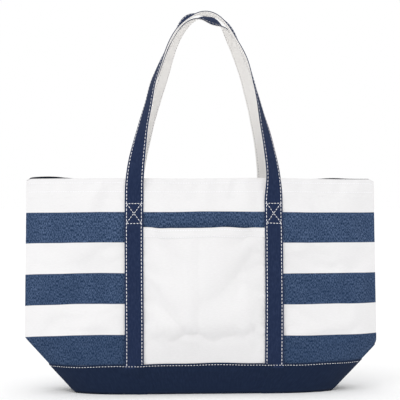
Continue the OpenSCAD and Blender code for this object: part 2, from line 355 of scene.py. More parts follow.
def stitches(name, lines, material, width=0.95 * MM, height=0.5 * MM, stitch=STITCH, gap=STITCH_GAP):
    """Rows of separate stitches, each a thread that rises from the cloth and dips back in.
    A line is its points and the cloth's normals there."""
    share = np.array([0.0, 0.1, 0.32, 0.68, 0.9, 1.0])
    middle = np.array([-0.35, 0.1, 0.34, 0.34, 0.1, -0.35]) * height
    radius = np.array([0.3, 0.55, 0.66, 0.66, 0.55, 0.3]) * height
    half = np.array([0.3, 0.78, 1.0, 1.0, 0.78, 0.3]) * width / 2
    sides = 8
    turn = np.arange(sides) * 2 * math.pi / sides
    verts, coords = [], []
    for points, normals in lines:
        points, normals = np.asarray(points, float), np.asarray(normals, float)
        run = distances(points)
        count = int((run[-1] - gap) / (stitch + gap))
        if count < 1:
            continue
        pitch = run[-1] / count
        starts = (np.arange(count) + 0.5) * pitch - stitch / 2
        starts = starts + rng.normal(0, 0.06, count) * gap
        s = np.clip(starts[:, None] + share[None, :] * stitch, 0, run[-1])
        p = along_line(s, run, points)
        n = unit(along_line(s, run, normals))
        ahead = along_line(np.minimum(s + 0.4 * MM, run[-1]), run, points)
        behind = along_line(np.maximum(s - 0.4 * MM, 0), run, points)
        side = unit(np.cross(unit(ahead - behind), n))
        slant = rng.normal(0, 0.07 * MM, count)[:, None] * (share[None, :] - 0.5) * 2
        core = p + n * middle[None, :, None] + side * slant[..., None]
        ring = (
            core[:, :, None, :]
            + side[:, :, None, :] * (half[None, :, None] * np.cos(turn)[None, None, :])[..., None]
            + n[:, :, None, :] * (radius[None, :, None] * np.sin(turn)[None, None, :])[..., None]
        )
        verts.append(ring.reshape(-1, 3))
        along = np.repeat(s.reshape(-1), sides)
        around = np.tile(turn, s.size) / (2 * math.pi) * width * 3
        coords.append(np.stack([along, around], -1))
    verts, coords = np.concatenate(verts), np.concatenate(coords)
    faces = stitch_faces(len(verts) // (len(share) * sides), sides, len(share))
    return new_object(name, verts, faces, material, coords)


# ---------------- materials


class Nodes:
    """Short helpers for one material's node tree."""

    def __init__(self, name):
        self.material = bpy.data.materials.new(name)
        self.material.use_nodes = True
        self.tree = self.material.node_tree
        self.shader = self.tree.nodes["Principled BSDF"]

    def new(self, kind, **settings):
        node = self.tree.nodes.new(kind)
        for key, value in settings.items():
            setattr(node, key, value)
        return node

    def link(self, a, b):
        self.tree.links.new(a, b)

    def put(self, socket, value):
        if hasattr(value, "is_output") or isinstance(value, bpy.types.NodeSocket):
            self.link(value, socket)
        else:
            socket.default_value = value

    def math(self, operation, a, b=0.0, c=0.0, clamp=False):
        node = self.new("ShaderNodeMath", operation=operation, use_clamp=clamp)
        self.put(node.inputs[0], a)
        self.put(node.inputs[1], b)
        if len(node.inputs) > 2:
            self.put(node.inputs[2], c)
        return node.outputs[0]

    def attribute(self, name, output):
        return self.new("ShaderNodeAttribute", attribute_name=name).outputs[output]

    def split(self, vector):
        node = self.new("ShaderNodeSeparateXYZ")
        self.link(vector, node.inputs[0])
        return node.outputs

    def join(self, x, y, z=0.0):
        node = self.new("ShaderNodeCombineXYZ")
        for socket, value in zip(node.inputs, (x, y, z)):
            self.put(socket, value)
        return node.outputs[0]

    def noise(self, vector, scale, detail=2.0, roughness=0.5):
        node = self.new("ShaderNodeTexNoise")
        self.link(vector, node.inputs["Vector"])
        node.inputs["Scale"].default_value = scale
        node.inputs["Detail"].default_value = detail
        node.inputs["Roughness"].default_value = roughness
        return node.outputs[0]

    def ramp(self, value, low, high, out_low=0.0, out_high=1.0):
        node = self.new("ShaderNodeMapRange", interpolation_type="SMOOTHSTEP")
        self.put(node.inputs["Value"], value)
        limits = {"From Min": low, "From Max": high, "To Min": out_low, "To Max": out_high}
        for key, number in limits.items():
            node.inputs[key].default_value = number
        return node.outputs[0]

    def mix(self, factor, a, b, blend="MIX"):
        node = self.new("ShaderNodeMix", data_type="RGBA", blend_type=blend)
        self.put(node.inputs[0], factor)
        for socket, value in ((node.inputs[6], a), (node.inputs[7], b)):
            self.put(socket, value if not isinstance(value, tuple) else (*value, 1.0))
        return node.outputs[2]


def cloth_weave(n, pitch):
    """Plain weave height from 0 to 1, and the cloth's own flat coordinates."""
    flat = n.attribute("cloth", "Vector")
    s, t, _ = n.split(flat)
    warp = n.math("SINE", n.math("MULTIPLY", s, math.pi / pitch))
    weft = n.math("SINE", n.math("MULTIPLY", t, math.pi / pitch))
    cross = n.math("MULTIPLY", warp, weft)
    return n.math("MULTIPLY_ADD", cross, 0.5, 0.5), flat, s, t


def finish_cloth(n, colour, height, bump_distance, roughness=0.92, sheen=0.02):
    n.put(n.shader.inputs["Base Color"], colour)
    n.shader.inputs["Roughness"].default_value = roughness
    n.shader.inputs["Sheen Weight"].default_value = sheen
    n.shader.inputs["Sheen Roughness"].default_value = 0.5
    n.shader.inputs["Specular IOR Level"].default_value = 0.1
    node = n.new("ShaderNodeBump")
    node.inputs["Strength"].default_value = 0.6
    node.inputs["Distance"].default_value = bump_distance
    n.link(height, node.inputs["Height"])
    n.link(node.outputs[0], n.shader.inputs["Normal"])
    return n.material


def canvas_colour(n, weave, flat, base, shade):
    """Undyed canvas: the weave's shade, slubs in the yarn and broad faint unevenness."""
    s, t, _ = n.split(flat)
    slub = n.noise(n.join(n.math("MULTIPLY", s, 0.25), t), 780.0, 2.0)
    broad = n.noise(flat, 9.0, 3.0)
    worn = n.attribute("wear", "Fac")
    colour = n.mix(n.ramp(weave, 0.0, 1.0, 0.35, 0.0), base, shade)
    colour = n.mix(n.ramp(slub, 0.35, 0.7, 0.22, 0.0), colour, shade)
    colour = n.mix(n.ramp(broad, 0.3, 0.75, 0.16, 0.0), colour, shade)
    return n.mix(n.math("MULTIPLY", worn, 0.18), colour, shade), slub


def plain_canvas(name, base, shade, pitch=0.8 * MM):
    n = Nodes(name)
    weave, flat, _, _ = cloth_weave(n, pitch)
    colour, slub = canvas_colour(n, weave, flat, base, shade)
    height = n.math("MULTIPLY_ADD", slub, 0.5, weave)
    return finish_cloth(n, colour, height, 0.28 * MM)


def striped_canvas(name, white, white_shade, blue_dark, blue_light, pitch=0.8 * MM):
    n = Nodes(name)
    weave, flat, s, t = cloth_weave(n, pitch)
    canvas, slub = canvas_colour(n, weave, flat, white, white_shade)
    # Chambray look of the dyed stripes: pale yarn flecks in short upright streaks
    streak = n.noise(n.join(s, n.math("MULTIPLY", t, 0.36)), 860.0, 2.0, 0.6)
    fleck = n.noise(flat, 1100.0, 1.0)
    broad = n.noise(n.join(n.math("MULTIPLY", s, 1.6), t), 30.0, 3.0)
    blue = n.mix(n.ramp(streak, 0.42, 0.60), blue_dark, blue_light)
    blue = n.mix(n.ramp(fleck, 0.5, 0.75, 0.0, 0.35), blue, blue_light)
    blue = n.mix(n.ramp(weave, 0.0, 1.0, 0.35, 0.0), blue, blue_dark)
    blue = n.mix(n.ramp(broad, 0.35, 0.7, 0.22, 0.0), blue, blue_dark)
    # Painted shade: the blue darkens towards the bottom, standing in for the light falling off lower down
    blue = n.mix(n.ramp(t, 0.06, 0.26, 0.3, 0.0), blue, blue_dark)
    wobble = n.noise(n.join(s, n.math("MULTIPLY", t, 0.05)), 11.0, 2.0)
    height_up = n.math("MULTIPLY_ADD", n.math("SUBTRACT", wobble, 0.5), 2.0 * MM, t)
    # The stripes bow up, more to the left and lower down, and once more in the middle
    flat_out = n.math("SUBTRACT", 1.0, n.math("POWER", n.math("ABSOLUTE", n.math("DIVIDE", s, 0.235)), 4.0))
    bow = n.math("MULTIPLY", flat_out, n.math("MULTIPLY_ADD", t, -0.0144, 4.2 * MM))
    bow = n.math("MULTIPLY", bow, n.math("MULTIPLY_ADD", s, -3.0, 1.0))
    reach = n.math("DIVIDE", s, 50 * MM)
    crown = n.math("DIVIDE", 1.5 * MM, n.math("MULTIPLY_ADD", reach, reach, 1.0))
    height_up = n.math("SUBTRACT", height_up, n.math("ADD", bow, crown))
    turn = n.math("DIVIDE", n.math("SUBTRACT", STRIPE_TOP, height_up), STRIPE_PITCH)
    turn = n.math("MAXIMUM", turn, -0.5)
    edge = n.math("SINE", n.math("MULTIPLY", turn, math.pi))
    dyed = n.math("MULTIPLY_ADD", edge, 28.0, 0.5, clamp=True)
    colour = n.mix(dyed, canvas, blue)
    height = n.math("MULTIPLY_ADD", slub, 0.5, weave)
    return finish_cloth(n, colour, height, 0.28 * MM)


def dyed_cloth(name, dark, light, pitch):
    """Solid dyed canvas or webbing, paler where the yarn shows and where edges rub."""
    n = Nodes(name)
    weave, flat, s, t = cloth_weave(n, pitch)
    streak = n.noise(n.join(s, n.math("MULTIPLY", t, 0.3)), 420.0, 3.0, 0.6)
    broad = n.noise(flat, 16.0, 3.0)
    worn = n.attribute("wear", "Fac")
    colour = n.mix(n.ramp(streak, 0.35, 0.75, 0.0, 0.6), dark, light)
    colour = n.mix(n.ramp(weave, 0.0, 1.0, 0.3, 0.0), colour, dark)
    colour = n.mix(n.ramp(broad, 0.3, 0.75, 0.3, 0.0), colour, dark)
    colour = n.mix(n.math("MULTIPLY", worn, 0.55), colour, light)
    height = n.math("MULTIPLY_ADD", streak, 0.5, weave)
    return finish_cloth(n, colour, height, 0.25 * MM, sheen=0.03)


def thread(name, base, shade):
    """Twisted sewing thread."""
    n = Nodes(name)
    flat = n.attribute("cloth", "Vector")
    s, t, _ = n.split(flat)
    lay = n.math("SINE", n.math("MULTIPLY", n.math("ADD", s, t), 2 * math.pi / (0.9 * MM)))
    lay = n.math("MULTIPLY_ADD", lay, 0.5, 0.5)
    fuzz = n.noise(flat, 2500.0, 2.0)
    colour = n.mix(n.ramp(lay, 0.0, 0.8, 0.5, 0.0), base, shade)
    height = n.math("MULTIPLY_ADD", fuzz, 0.4, lay)
    return finish_cloth(n, colour, height, 0.12 * MM, roughness=0.7, sheen=0.0)


WHITE = (0.862, 0.857, 0.863)
WHITE_SHADE = (0.74, 0.73, 0.73)
BLUE_DARK, BLUE_LIGHT = (0.010, 0.028, 0.070), (0.108, 0.162, 0.285)
MAT = {
    "stripes": striped_canvas("striped_canvas", WHITE, WHITE_SHADE, BLUE_DARK, BLUE_LIGHT),
    "pocket": plain_canvas("pocket_canvas", (0.857, 0.852, 0.858), WHITE_SHADE),
    "boot": dyed_cloth("boot_canvas", (0.0085, 0.0165, 0.042), (0.018, 0.031, 0.068), 0.9 * MM),
    "strap": dyed_cloth("strap_canvas", (0.0125, 0.0225, 0.060), (0.033, 0.050, 0.110), 0.7 * MM),
    "facing": dyed_cloth("facing_cotton", (0.011, 0.014, 0.024), (0.02, 0.026, 0.045), 0.6 * MM),
    "lining": plain_canvas("handle_lining_canvas", (0.95, 0.94, 0.925), (0.84, 0.80, 0.76), 0.7 * MM),
    "tape": plain_canvas("binding_tape", (0.80, 0.78, 0.75), (0.62, 0.59, 0.54), 0.5 * MM),
    "thread": thread("thread_white", (0.96, 0.955, 0.98), (0.88, 0.87, 0.91)),
    "bobbin": thread("thread_navy", (0.03, 0.04, 0.08), (0.015, 0.02, 0.04)),
}


# ---------------- cloth simulation


SIM_FRAMES = 40
CLOTH_GROWTH = 0.022
RIPPLE_LIMIT = 7 * MM


def wall_grid():
    """Height, share of the half width and freedom to move at each point of a simulated wall."""
    z = np.linspace(SIM_LOW, RIM_H, SIM_ROWS)[:, None] + np.zeros((1, SIM_COLS))
    share = np.linspace(-1, 1, SIM_COLS)[None, :] + np.zeros((SIM_ROWS, 1))
    free = smooth((1 - np.abs(share)) / 0.12) * smooth((z - BOOT_H) / 0.05)
    return z, share, free


def held_weights(ring, share):
    """How firmly the boot, the side seams, the sewn straps and the rim hold each point."""
    x, z = np.abs(ring[..., 0]), ring[..., 2]
    low = 1 - smooth((z - BOOT_H) / 0.05)
    seam = smooth((np.abs(share) - 0.95) / 0.05) * 0.9
    strap = bump(x, STRAP_X, STRAP_W * 0.75) * 0.85
    rim = smooth((z - (RIM_H - 0.03)) / 0.03) * 0.35
    return np.clip(np.maximum.reduce([low, seam, strap, rim]), 0.02, 1)


def run_cloth(obj, held):
    """Simulates the cloth, removes it and returns where its points ended up."""
    group = obj.vertex_groups.new(name="held")
    for i, w in enumerate(held.ravel()):
        group.add([i], float(w), "REPLACE")
    modifier = obj.modifiers.new("Cloth", "CLOTH")
    cloth = modifier.settings
    cloth.quality = 6
    cloth.mass = 0.08
    cloth.tension_stiffness = 40
    cloth.compression_stiffness = 40
    cloth.shear_stiffness = 15
    cloth.bending_stiffness = 2.0
    cloth.air_damping = 2.0
    cloth.vertex_group_mass = "held"
    cloth.pin_stiffness = 0.6
    cloth.shrink_min = -CLOTH_GROWTH
    cloth.effector_weights.gravity = 0.6
    modifier.collision_settings.use_collision = False
    modifier.point_cache.frame_start = 1
    modifier.point_cache.frame_end = SIM_FRAMES
    scene = bpy.context.scene
    for step in range(1, SIM_FRAMES + 1):
        scene.frame_set(step)
    graph = bpy.context.evaluated_depsgraph_get()
    final = obj.evaluated_get(graph).data
    moved = np.zeros(len(final.vertices) * 3)
    final.vertices.foreach_get("co", moved)
    scene.frame_set(1)
    mesh = obj.data
    bpy.data.objects.remove(obj)
    bpy.data.meshes.remove(mesh)
    return moved


def simulate_walls():
    """Lets a ring of both walls, grown a little too large, crumple under part of gravity, and keeps how
    far each point moved in or out."""
    z, share, free = wall_grid()
    x = share * half_width(z, share)
    front, back = (np.stack([x, f * wall_depth(x, z), z], -1) for f in (FRONT, BACK))
    ring = np.concatenate([front, back[:, -2:0:-1]], axis=1)
    ring_share = np.concatenate([share, share[:, -2:0:-1]], axis=1)
    index = np.arange(ring_share.size).reshape(ring_share.shape)
    nxt = np.roll(index, -1, axis=1)
    faces = np.stack([index[:-1], nxt[:-1], nxt[1:], index[1:]], -1).reshape(-1, 4).tolist()
    obj = new_object("wall_simulation", ring.reshape(-1, 3), faces, MAT["pocket"])
    delta = run_cloth(obj, held_weights(ring, ring_share)).reshape(ring.shape) - ring
    fields = {
        FRONT: -delta[:, :SIM_COLS, 1],
        BACK: np.concatenate([delta[:, :1], delta[:, : SIM_COLS - 2 : -1]], axis=1)[..., 1],
    }
    for face, field in fields.items():
        ripples[face] = RIPPLE_LIMIT * np.tanh(field / RIPPLE_LIMIT) * free


simulate_walls()


# ---------------- body panels


def keep(obj, slot, *nodes, body="bag"):
    """Files a finished piece: what it rides on and what it stands for. The slot is not used."""
    if body:
        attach(obj, body)
    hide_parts(*nodes)
    return obj


def make_panel(face, name, node):
    rows, cols = 150, 240
    z = np.linspace(9 * MM, RIM_H, rows)
    share = np.sin(np.linspace(-1, 1, cols) * math.pi / 2 * 0.92) / math.sin(math.pi / 2 * 0.92)
    z, share = np.meshgrid(z, share, indexing="ij")
    x = share * half_width(z, share)
    p, n = wall_frame(face, x, z)
    # The cloth is thicker at the doubled rim
    hem = smooth((z - (RIM_H - FACING_H)) / (1.5 * MM)) * 0.35 * MM
    outer = p + n * hem[..., None]
    inner = p - n * CANVAS_T
    cloth = np.stack([x * 1.03, z], -1)
    wear = 0.6 * smooth((z - (RIM_H - 3 * MM)) / (3 * MM)) + 0.5 * smooth((np.abs(share) - 0.985) / 0.015)
    obj = shell(name, outer, inner, MAT["stripes"], cloth, wear)
    return keep(obj, "striped_canvas", node)


make_panel(FRONT, "front_canvas", "front_panel")
make_panel(BACK, "back_canvas", "back_panel")


def tuck_end(side):
    """Where the inner end of a corner's fold lies: its distance along X and its height."""
    run = FOLD_HALF[side] - BASE_HALF[side]
    high = FOLD_H[side]
    slant = run**2 + high**2
    return BASE_HALF[side] - run * (BASE_END_D / 2) ** 2 / slant, 2 * high * run**2 / slant


def tuck_grid(face, side, low_share, high_share, lift, n_along=26, n_up=22):
    """Grid on the triangle of cloth folded in behind a lower corner. low_share and high_share are
    distances up from the corner's own seam, as shares of the way to the side seam."""
    foot = np.array([side * BASE_HALF[side], face * BASE_END_D / 2, 0.0])
    inset = FOLD_TURN[side] / 4
    tip = np.array([side * (FOLD_HALF[side] - inset), face * SEAM_HALF, FOLD_H[side] - inset])
    fold_x, fold_z = tuck_end(side)
    tuck = np.array([side * fold_x, face * SEAM_HALF, fold_z])
    up = np.linspace(low_share, high_share, n_up)[:, None, None]
    along = np.linspace(0, 1, n_along)[None, :, None]
    start = foot + (tip - foot) * up
    end = tuck + (tip - tuck) * up
    p = start + (end - start) * along
    normal = np.cross(tip - foot, tuck - foot)
    normal = normal / np.linalg.norm(normal)
    if normal[1] * face > 0:
        normal = -normal
    # normal points towards the middle plane, which is the outside of the folded cloth
    sag = 1.8 * MM * np.sin(np.pi * along) * (1 - up) * np.sin(np.pi * np.clip(up * 1.1, 0, 1)) ** 0.5
    p = p + normal * (lift - sag)
    cloth = np.stack([
        np.broadcast_to(0.26 + along[..., 0] * 0.07, p.shape[:2]),
        np.broadcast_to(up[..., 0] * FOLD_H[side], p.shape[:2]),
    ], -1)
    return p, normal, cloth


def make_tuck(face, side, name, low, high, lift, thickness, material, slot):
    p, normal, cloth = tuck_grid(face, side, low, high, lift)
    inner = p - normal * thickness
    wear = 0.4 * np.broadcast_to(np.abs(np.linspace(-1, 1, p.shape[1]))[None, :] ** 8, p.shape[:2])
    return keep(shell(name, p, inner, material, cloth, wear), slot)


def boot_edge(x):
    """The slightly uneven upper edge of the boot, lower towards the left seam."""
    uneven = 0.4 * MM * np.sin(x / 0.031 + 0.6) + 0.3 * MM * np.sin(x / 0.0127)
    return BOOT_H + uneven + 1.0 * MM * bump(x, 0, 0.09) - 3.2 * MM * smooth((-x - 0.08) / 0.13)


for face, face_name in ((FRONT, "front"), (BACK, "back")):
    for side, side_name in ((-1, "left"), (1, "right")):
        make_tuck(face, side, f"{face_name}_{side_name}_corner_tuck", 0.03, 0.985, -1.3 * MM, CANVAS_T,
                  MAT["stripes"], "striped_canvas")
        make_tuck(face, side, f"{face_name}_{side_name}_boot_tuck", 0.0,
                  boot_edge(side * 226 * MM) / FOLD_H[side], 0.1 * MM, BOOT_T, MAT["boot"], "boot_canvas")


# ---------------- boot


def bottom_rise(x):
    """Height of the bottom's middle line, which climbs towards the folded-in ends."""
    ends = {side: tuck_end(side) for side in (-1, 1)}
    fold_x = pick(x, {side: end[0] for side, end in ends.items()})
    fold_z = pick(x, {side: end[1] for side, end in ends.items()})
    return fold_z * smooth((np.abs(x) - BASE_FLAT_L / 2) / (fold_x - BASE_FLAT_L / 2))


def strap_share(x):
    return 1 - smooth((np.abs(np.abs(x) - STRAP_X) - STRAP_W / 2 - 0.5 * MM) / (5 * MM))


def band_out(face, x, z):
    """How far the boot band's inner face stands off the wall, over what is tucked under it."""
    pocket = 0 * x
    if face == FRONT:
        pocket = (POCKET_T + 0.2 * MM) * (1 - smooth((np.abs(x) - POCKET_W / 2) / (3 * MM)))
    over = pocket + strap_share(x) * 2 * PLY_T
    return LAYER_GAP + over * smooth((z - 22 * MM) / (14 * MM))


HEEL = 5 * MM


def band_rows(face, share, heights):
    """Rows of the boot's band at shares of its height: outer points, inner points and heights."""
    for up in heights:
        x0 = share * half_width(np.full(share.shape, up * BOOT_H), share)
        z = HEEL + (boot_edge(x0) - HEEL) * (up * BOOT_H - HEEL) / (BOOT_H - HEEL)
        x = share * half_width(z, share)
        out = band_out(face, x, z)
        yield on_wall(face, x, z, out + BOOT_T), on_wall(face, x, z, out), z


def bottom_rows(share):
    """Rows of the bottom from front to back: lower points, upper points and place from -1 to 1."""
    x = share * pick(share, BASE_HALF)
    rise = bottom_rise(x)
    depth = wall_depth(x, np.zeros(share.shape)) + LAYER_GAP + BOOT_T
    for t in -np.cos(np.linspace(0, 1, 41) * np.pi):
        y = t * (depth - 0.9 * MM)
        arch = rise * (1 - np.abs(t))
        # the heel rounds up into the band
        turn = HEEL * 0.55 * np.clip((np.abs(t) - 0.93) / 0.07, 0, 1) ** 2
        low = np.stack([x, y, arch + turn * (rise < 1 * MM)], -1)
        up = unit(np.stack([0 * x, np.sign(t) * rise / depth, 0 * x + 1], -1))
        yield low, low + up * BOOT_T * 1.6, t


def make_boot():
    cols = 300
    share = np.sin(np.linspace(-1, 1, cols) * math.pi / 2 * 0.9) / math.sin(math.pi / 2 * 0.9)
    outer_rows, inner_rows, flat_rows = [], [], []
    ups = np.linspace(1, HEEL / BOOT_H, 24)
    for outer, inner, z in band_rows(FRONT, share, ups):
        outer_rows.append(outer)
        inner_rows.append(inner)
        flat_rows.append(np.stack([share * 0.2, z], -1))
    for outer, inner, t in bottom_rows(share):
        outer_rows.append(outer)
        inner_rows.append(inner)
        flat_rows.append(np.stack([share * 0.2, np.full(cols, -0.06 * (t + 1))], -1))
    for outer, inner, z in list(band_rows(BACK, share, ups))[::-1]:
        outer_rows.append(outer)
        inner_rows.append(inner)
        flat_rows.append(np.stack([share * 0.2, -0.12 - z], -1))
    outer, inner, cloth = (np.array(r) for r in (outer_rows, inner_rows, flat_rows))
    wear = np.zeros(outer.shape[:2])
    wear[0] = wear[-1] = 0.5
    off_middle = np.abs(outer[..., 1])
    wear[(np.abs(outer[..., 2]) < HEEL) & (off_middle > 0.7 * off_middle.max(axis=0))] = 0.35
    return keep(shell("boot_cloth", outer, inner, MAT["boot"], cloth, wear), "boot_canvas", "base_boot")


make_boot()


# ---------------- pocket


def pocket_stand_off(x, z):
    """How far the pocket's inner face hangs off the wall."""
    open_share = (1 - smooth((np.abs(x) - 50 * MM) / (34 * MM))) * smooth((z - BOOT_H) / (60 * MM))
    slack = 1 + 0.2 * np.sin(x / 0.021 + 1.1) * smooth((z - 0.08) / 0.1)
    fold = 1.5 * MM * bump(x, -21 * MM + 0.02 * (z - 0.14), 8 * MM) * smooth((POCKET_TOP - z) / 0.03 + 0.25)
    crease = -1.0 * MM * bump(x, -9 * MM, 6 * MM) - 0.8 * MM * bump(x, 46 * MM + 0.05 * (z - 0.1), 9 * MM)
    return LAYER_GAP + open_share * (POCKET_GAP * slack + fold + crease)


def pocket_edge(x):
    return POCKET_TOP + 0.5 * MM * np.sin(x / 0.019) - 0.6 * MM * bump(x, 0.0, 0.05)


def make_pocket():
    rows, cols = 120, 130
    up = np.linspace(0, 1, rows)[:, None]
    x = np.linspace(-0.5, 0.5, cols)[None, :] * POCKET_W + 0 * up
    z = lerp(TUCK_Z, pocket_edge(x), up)
    out = pocket_stand_off(x, z)
    hem = 0.7 * MM * smooth((z - (POCKET_TOP - 14 * MM)) / (1.2 * MM))
    outer = on_wall(FRONT, x, z, out + POCKET_T + hem)
    inner = on_wall(FRONT, x, z, out)
    wear = 0.7 * smooth((z - (POCKET_TOP - 2.5 * MM)) / (2.5 * MM))
    cloth = np.stack([x, z], -1)
    obj = shell("pocket_cloth", outer, inner, MAT["pocket"], cloth, wear)
    return keep(obj, "pocket_canvas", "front_pocket")


make_pocket()


# ---------------- straps and handles


def under_strap(face, z):
    """What the sewn strap lies on: the pocket's edge, up to its top, and then the wall."""
    if face == BACK:
        return LAYER_GAP + 0 * z
    return LAYER_GAP + (POCKET_T + 0.35 * MM) * (1 - smooth((z - POCKET_TOP) / (9 * MM)))


# Each handle's middle line as seen from the front: x, z, twist and cup, in mm and degrees. Twist turns
# the strap from 0, flat on the wall, to 90, flat across the top. Cup is how far it bows along its width.
HANDLE_KNOTS = {
    FRONT: [
        (-101.5, 278, 0, 3), (-100.9, 310, 15, 3), (-95.6, 351, 38, 3), (-88.8, 386, 59, 4),
        (-80.4, 422, 70, 5), (-72.1, 457, 77, 5), (-63.2, 481, 84, 4), (-52.7, 505, 92, 0),
        (-39.8, 528, 95, -22), (-31, 540, 83, -48), (-21.5, 549.3, 70, -60), (-13, 554.4, 74, -50),
        (-5, 556.9, 92, -20), (2, 557.6, 102, 0), (14.5, 555.8, 98, -14), (23.6, 551.4, 86, -40),
        (34.6, 541, 77, -56), (42.6, 529, 77, -56), (49, 517.4, 81, -46), (55.4, 505.6, 88, -25),
        (66.8, 482, 86, -5), (73.6, 458, 82, 4), (79.4, 434, 77, 5), (84.5, 410.5, 69, 4),
        (89.4, 387, 58, 4), (96.5, 352, 48, 3), (101.3, 316, 36, 3), (102, 290, 16, 3),
        (101.5, 278, 0, 3),
    ],
    BACK: [
        (-101.5, 278, 0, 3), (-97.6, 318, 12, 3), (-87.5, 362, 38, 3), (-77.4, 400, 47, 4),
        (-65.5, 439, 52, 5), (-58.1, 460, 55, 6), (-50, 487, 60, 7), (-41.8, 510.5, 66, 8),
        (-30, 534, 72, 8), (-17, 548, 80, 8), (-4, 554.3, 94, 8), (8, 554.2, 115, 6),
        (17, 551, 130, 6), (25, 547.5, 122, 6), (33, 542, 88, 8), (42.8, 528.5, 69, 8),
        (50.6, 515.5, 64, 8), (61.7, 490.5, 57, 7), (71.2, 466, 51, 6), (78, 442, 50, 5),
        (86.1, 411, 47, 4), (94.3, 376, 38, 3), (99.8, 346, 25, 3), (102.8, 312, 11, 3),
        (101.5, 278, 0, 3),
    ],
}


def spline(knots, values, at):
    """Natural cubic spline through the values at the knots."""
    gap = np.diff(knots)
    count = len(knots)
    system, right = np.eye(count), np.zeros((count, values.shape[1]))
    slope = np.diff(values, axis=0) / gap[:, None]
    for i in range(1, count - 1):
        system[i, i - 1 : i + 2] = gap[i - 1], 2 * (gap[i - 1] + gap[i]), gap[i]
        right[i] = 6 * (slope[i] - slope[i - 1])
    bend = np.linalg.solve(system, right)
    i = np.clip(np.searchsorted(knots, at) - 1, 0, count - 2)
    h, a = gap[i][:, None], (knots[i + 1] - at)[:, None]
    b = (at - knots[i])[:, None]
    return (
        bend[i] * a**3 / (6 * h) + bend[i + 1] * b**3 / (6 * h)
        + (values[i] / h - bend[i] * h / 6) * a + (values[i + 1] / h - bend[i + 1] * h / 6) * b
    )


EASING = (0.0625, 0.25, 0.375, 0.25, 0.0625)


def eased(values, times):
    """Values along a line with their small kinks smoothed out."""
    for _ in range(times):
        padded = np.concatenate([values[:1], values[:1], values, values[-1:], values[-1:]])
        values = sum(w * padded[k : k + len(values)] for k, w in enumerate(EASING))
    return values


def free_strap(face):
    """The swinging stretch: middle line, direction across it, outward normal and cup."""
    knots = np.array(HANDLE_KNOTS[face], float)
    place = knots[:, :2] * MM
    run = distances(place)
    s = np.linspace(0, run[-1], 400)
    xz = eased(spline(run, place, s), 12)
    turn = np.radians(eased(np.interp(s, run, knots[:, 2]), 26))[:, None]
    cup = np.radians(eased(np.interp(s, run, knots[:, 3]), 26))
    rise = np.clip((xz[:, 1] - AXIS_Z) / HANDLE_H, 0, 1)
    y = AXIS_Y - 2.2 * MM - HANDLE_LEAN * rise**1.5
    on_cloth = on_wall(face, xz[:, 0], np.minimum(xz[:, 1], RIM_H), under_strap(face, xz[:, 1]) + PLY_T)
    low = smooth((xz[:, 1] - AXIS_Z) / (46 * MM))
    y = lerp(np.abs(on_cloth[:, 1]), y, np.where(xz[:, 1] < RIM_H + 8 * MM, low, 1.0))
    middle = np.stack([xz[:, 0], face * y, xz[:, 1]], -1)
    along = unit(np.gradient(xz, axis=0))
    inward = np.stack([along[:, 1], 0 * s, -along[:, 0]], -1)
    forward = np.array([0.0, float(face), 0.0])
    across = np.cos(turn) * inward + np.sin(turn) * forward
    out = np.cos(turn) * forward - np.sin(turn) * inward
    return middle[1:-1], across[1:-1], out[1:-1], cup[1:-1]


def sewn_strap(face, side):
    """The stretch sewn to the wall, from under the boot to the swing axis."""
    z = np.linspace(TUCK_Z, AXIS_Z, 130)
    p, n = wall_frame(face, np.full(z.shape, side * STRAP_X), z)
    middle = p + n * (under_strap(face, z) + PLY_T)[:, None]
    across = unit(np.cross([0, 0, 1.0], n))
    across = across * np.sign(-side * across[:, :1])
    return middle, across, n, np.full(z.shape, math.radians(3))


def strap_line(face):
    """The strap from under the boot on the left, over the handle, to under the boot on the right."""
    left, right = sewn_strap(face, -1), sewn_strap(face, 1)
    parts = zip(left, free_strap(face), (v[::-1] for v in right))
    middle, across, out, cup = (np.concatenate(part) for part in parts)
    run = distances(middle)
    s = np.linspace(0, run[-1], 620)
    middle, across, out, cup = (
        eased(along_line(s, run, v), 4) for v in (middle, across, out, cup[:, None])
    )
    out = unit(out)
    across = unit(across - out * (across * out).sum(-1, keepdims=True))
    return s, middle, across, out, cup[:, 0]


def strap_surface(face, share, lift, first=0, last=None):
    """Points on a layer of the strap and their normals, at shares of its half width from -1 to 1."""
    s, middle, across, out, cup = (v[first:last] for v in STRAPS[face])
    reach = np.atleast_1d(share) * STRAP_W / 2
    theta = cup[:, None] * reach[None, :] / STRAP_W
    side = reach[None, :] * np.sinc(theta / math.pi)
    drop = -reach[None, :] * np.where(np.abs(theta) < 1e-6, theta / 2, (1 - np.cos(theta)) / (theta + 1e-12))
    normal = np.sin(theta)[..., None] * across[:, None] + np.cos(theta)[..., None] * out[:, None]
    place = middle[:, None] + side[..., None] * across[:, None] + drop[..., None] * out[:, None]
    return place + normal * np.asarray(lift)[..., None], normal, s


def strap_ply(name, face, low, high, material, slot, nodes, first=0, last=None, reach=1.0):
    """One ply of the strap with its edges rolled."""
    share = np.linspace(-reach, reach, 17)
    _, _, s = strap_surface(face, share, 0, first, last)
    wave = 0.18 * MM * np.sin(s / 0.0093)[:, None] * np.abs(share)[None, :] ** 6
    outer = strap_surface(face, share, high + wave, first, last)[0]
    inner = strap_surface(face, share, low + wave, first, last)[0]
    shape = outer.shape[:2]
    cloth = np.stack([np.broadcast_to(share * STRAP_W / 2, shape), np.broadcast_to(s[:, None], shape)], -1)
    wear = np.broadcast_to(np.abs(share)[None, :] ** 10 * 0.6, shape)
    obj = shell(name, outer, inner, material, cloth, wear)
    return bend_with_handle(keep(obj, slot, *nodes, body=None))


def bend_with_handle(obj):
    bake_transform(obj)
    return obj


STRAPS = {FRONT: strap_line(FRONT), BACK: strap_line(BACK)}


